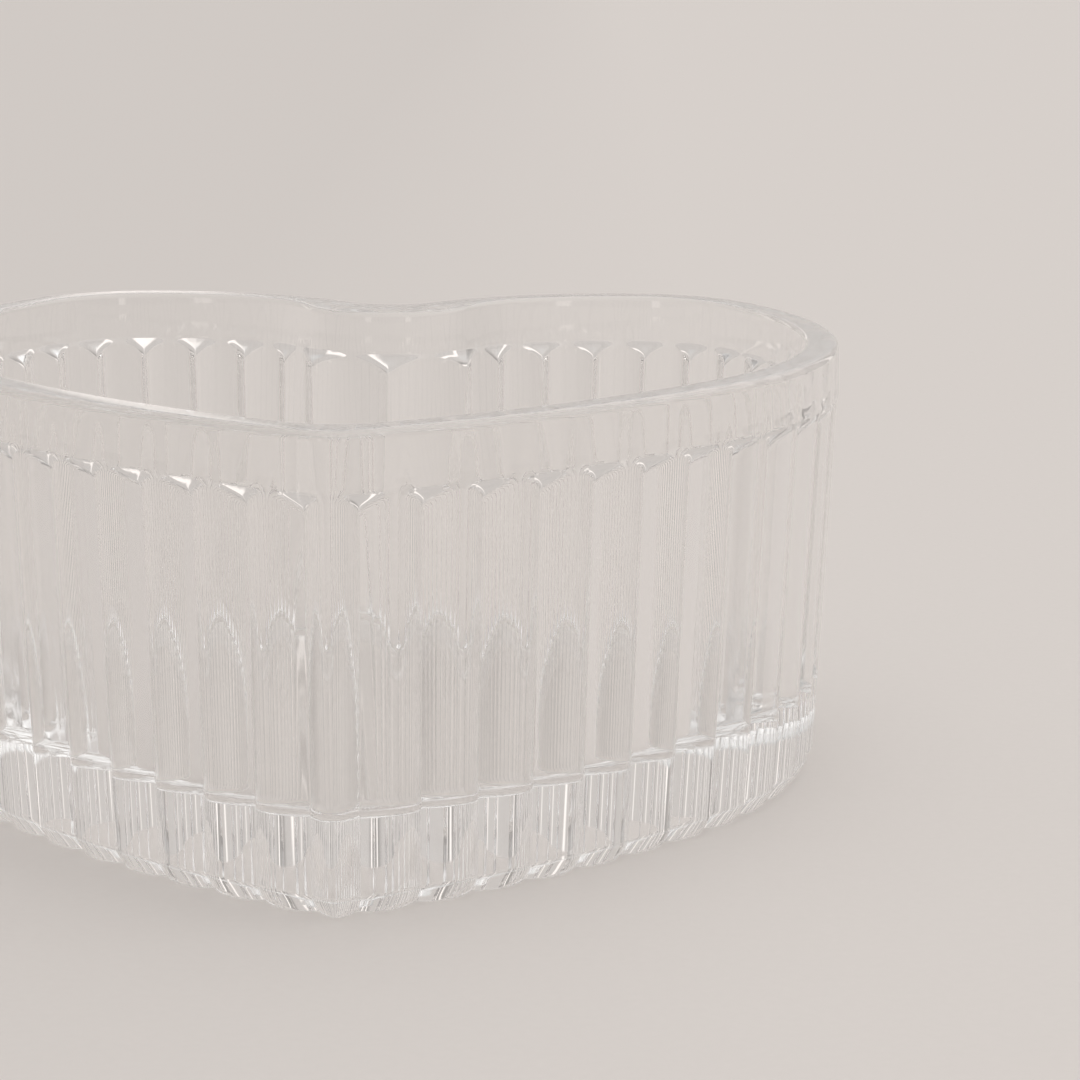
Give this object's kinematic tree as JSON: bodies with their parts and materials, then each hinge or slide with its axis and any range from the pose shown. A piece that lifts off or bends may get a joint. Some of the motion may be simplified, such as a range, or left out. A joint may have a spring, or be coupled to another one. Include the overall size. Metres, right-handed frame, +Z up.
{
  "type": "heart-shaped trinket box",
  "caption": "Open heart-shaped trinket box in clear pressed glass, with vertical ribs outside, a plain rim band, a smooth inside and a thick solid foot.",
  "frame": {"origin": "middle of the bounding box on the resting face under the foot", "axes": "+X across the two lobes, +Y from the tip to the notch (the tip points to -Y), +Z up out of the open mouth"},
  "size_m": [0.11, 0.1092, 0.051],
  "materials": {
    "clear_glass": "clear, fire-polished"
  },
  "bodies": {
    "root": {"glass_body": "clear_glass"}
  },
  "joints": []
}
